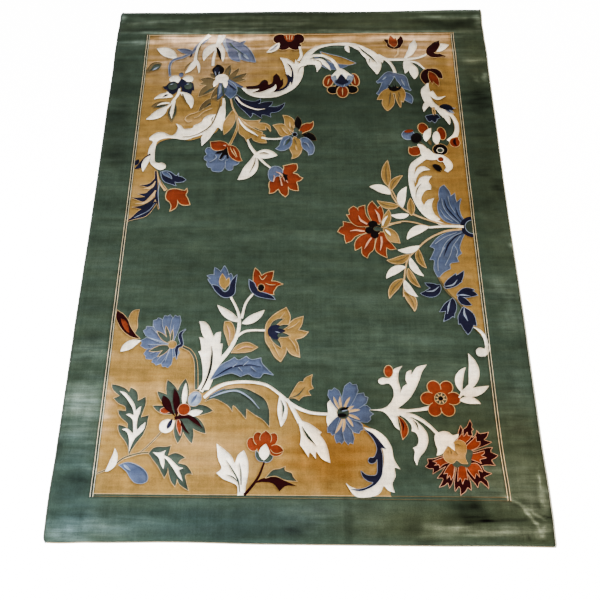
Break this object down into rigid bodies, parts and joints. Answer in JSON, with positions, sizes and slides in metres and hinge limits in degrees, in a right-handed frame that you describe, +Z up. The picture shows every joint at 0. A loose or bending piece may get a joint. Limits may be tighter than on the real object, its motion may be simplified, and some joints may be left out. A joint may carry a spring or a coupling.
{
  "type": "turkish rug",
  "caption": "Rectangular low-pile rug lying flat, with soft packing folds near its ends and yarn-wound long sides.",
  "frame": {"origin": "under the middle of the rug, on the surface it lies on", "axes": "+Z up from the floor, +Y along the length to the picture's far end, +X across to the picture's right"},
  "size_m": [1.6059, 2.3031, 0.0127],
  "materials": {
    "pile": "dense short cut pile, silky, matt with a soft sheen",
    "overcast_dark": "wound yarn, matt",
    "overcast_pale": "wound yarn, matt, paler"
  },
  "bodies": {
    "root": {"rug_body": "pile", "binding_left": "overcast_dark", "binding_right": "overcast_pale"}
  },
  "joints": []
}
